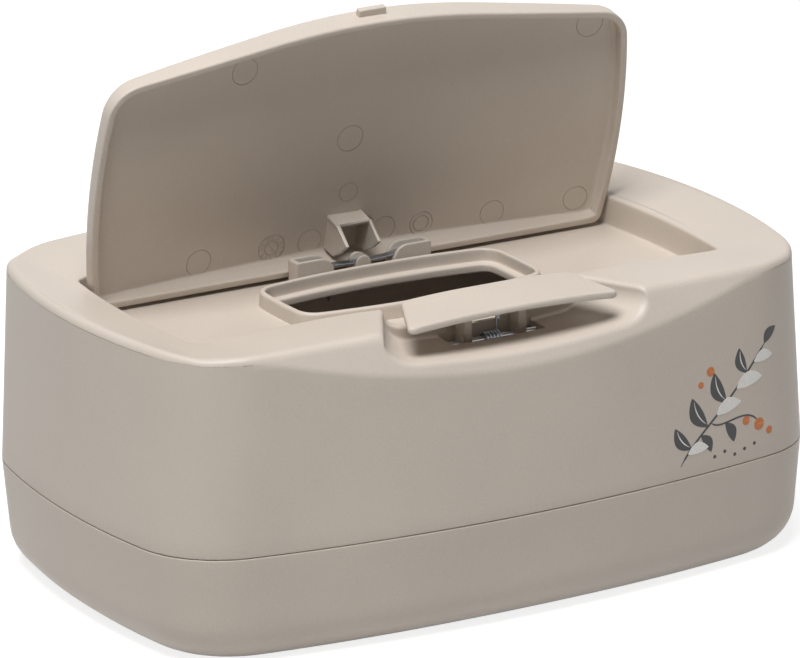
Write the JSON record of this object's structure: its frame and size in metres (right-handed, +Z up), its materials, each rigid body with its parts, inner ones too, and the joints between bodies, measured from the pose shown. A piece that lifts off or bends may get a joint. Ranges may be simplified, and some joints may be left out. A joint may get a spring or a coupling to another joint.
{
  "type": "baby wipes box",
  "caption": "Deep plastic wipes box with a lift-off housing, a sprung flip-up lid over a collared dispensing mouth, and a press button in a front scoop.",
  "frame": {"origin": "centre of the footprint at the tray's flat bottom", "axes": "+X along the length, +Y towards the hinge side at the back, +Z up"},
  "size_m": [0.25, 0.166, 0.1808],
  "materials": {
    "greige_plastic": "fine matte moulded grain",
    "spring_steel": "cold-rolled spring steel strip and wire",
    "pin_steel": "drawn steel rod"
  },
  "bodies": {
    "tray": {"base_tray": "greige_plastic"},
    "housing": {"housing": "greige_plastic", "leaf_spring": "spring_steel", "hinge_pin_left": "pin_steel", "hinge_pin_right": "pin_steel", "button_axle": "pin_steel", "button_spring": "spring_steel"},
    "lid": {"lid": "greige_plastic"},
    "button": {"button": "greige_plastic"}
  },
  "joints": [
    {"name": "housing_lift", "type": "slide", "parent": "tray", "child": "housing", "axis": [0, 0, 1], "range_m": [0, 0.1]},
    {"name": "lid_hinge", "type": "hinge", "parent": "housing", "child": "lid", "pos_m": [0, 0.035, 0.0932], "axis": [1, 0, 0], "range_deg": [0, 76.7], "stiffness_Nm_per_rad": 0.02, "springref_deg": -34.38, "deforming": ["leaf_spring"]},
    {"name": "button_press", "type": "hinge", "parent": "housing", "child": "button", "pos_m": [0, -0.0585, 0.0886], "axis": [1, 0, 0], "range_deg": [0, 12], "stiffness_Nm_per_rad": 0.05, "springref_deg": -11.46, "deforming": ["button_spring"]}
  ]
}
